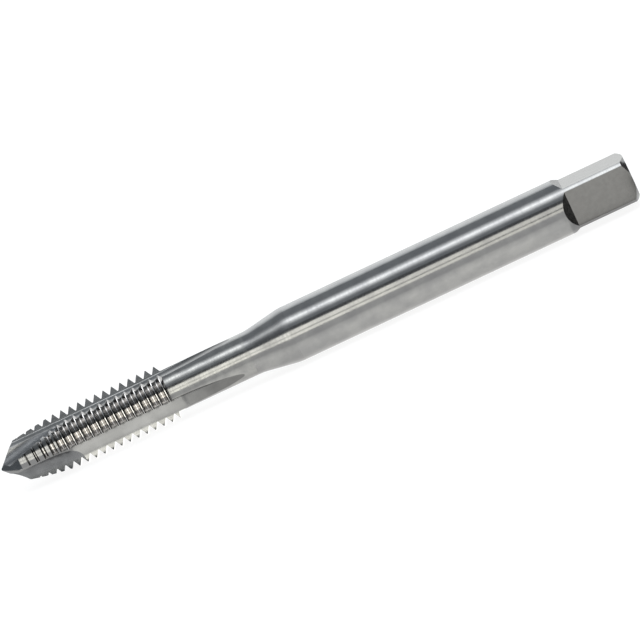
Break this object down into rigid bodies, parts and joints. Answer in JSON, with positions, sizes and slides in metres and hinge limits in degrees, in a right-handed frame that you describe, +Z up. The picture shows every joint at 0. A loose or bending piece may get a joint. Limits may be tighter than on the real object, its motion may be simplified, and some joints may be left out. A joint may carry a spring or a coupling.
{
  "type": "thread tap",
  "caption": "Right-hand spiral-point machine tap with straight flutes, a ground neck, a plain round shank and a driving square.",
  "frame": {"origin": "the tip of the tap's point, on its axis", "axes": "+X along the axis from the point to the driving square, +Z up as the tap lies on a bench: on one land, with one flute facing up and two flats of the driving square level"},
  "size_m": [0.0595, 0.005, 0.005],
  "materials": {
    "ground_steel": "bright ground high-speed steel"
  },
  "bodies": {
    "root": {"thread_tap": "ground_steel"}
  },
  "joints": []
}
